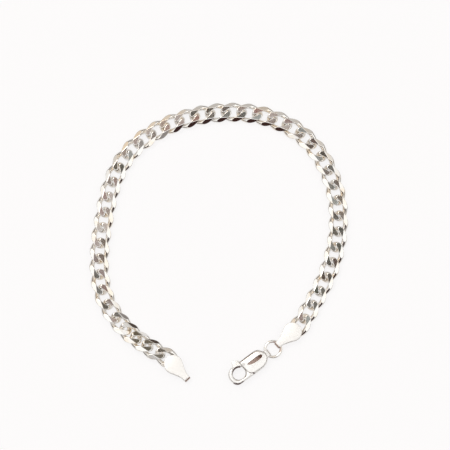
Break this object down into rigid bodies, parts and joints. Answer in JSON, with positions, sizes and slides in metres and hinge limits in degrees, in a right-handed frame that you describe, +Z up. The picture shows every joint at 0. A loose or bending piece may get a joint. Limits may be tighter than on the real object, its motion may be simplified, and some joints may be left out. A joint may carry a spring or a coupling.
{
  "type": "link bracelet",
  "caption": "Flat curb-link bracelet with bevel-cut links, folded end tabs, a jump ring and a lobster clasp, laid open on a table.",
  "frame": {"origin": "on the table, under the middle of the laid-out bracelet's box", "axes": "+Z up from the table, +X to the picture's right, +Y away from the viewer; the two ends of the bracelet lie open towards -Y"},
  "size_m": [0.071, 0.0782, 0.0026],
  "materials": {
    "chain_silver": "mirror-polished sterling silver",
    "tab_silver": "polished sterling silver sheet",
    "ring_silver": "polished sterling silver wire",
    "clasp_silver": "polished cast sterling silver"
  },
  "bodies": {
    "bracelet": {"link_01": "chain_silver", "link_02": "chain_silver", "link_03": "chain_silver", "link_04": "chain_silver", "link_05": "chain_silver", "link_06": "chain_silver", "link_07": "chain_silver", "link_08": "chain_silver", "link_09": "chain_silver", "link_10": "chain_silver", "link_11": "chain_silver", "link_12": "chain_silver", "link_13": "chain_silver", "link_14": "chain_silver", "link_15": "chain_silver", "link_16": "chain_silver", "link_17": "chain_silver", "link_18": "chain_silver", "link_19": "chain_silver", "link_20": "chain_silver", "link_21": "chain_silver", "link_22": "chain_silver", "link_23": "chain_silver", "link_24": "chain_silver", "link_25": "chain_silver", "link_26": "chain_silver", "link_27": "chain_silver", "link_28": "chain_silver", "link_29": "chain_silver", "link_30": "chain_silver", "link_31": "chain_silver", "link_32": "chain_silver", "link_33": "chain_silver", "link_34": "chain_silver", "link_35": "chain_silver", "link_36": "chain_silver", "link_37": "chain_silver", "link_38": "chain_silver", "link_39": "chain_silver", "link_40": "chain_silver", "end_tab_free": "tab_silver", "end_tab_ring": "tab_silver", "jump_ring": "ring_silver", "clasp_body": "clasp_silver", "clasp_pin": "clasp_silver"},
    "lever": {"clasp_lever": "clasp_silver"}
  },
  "joints": [
    {"name": "lever_hinge", "type": "hinge", "parent": "bracelet", "child": "lever", "pos_m": [0.00679, -0.03365, 0.0012], "axis": [0, 0, 1], "range_deg": [0, 22], "stiffness_Nm_per_rad": 0.002, "springref_deg": -20.05}
  ]
}
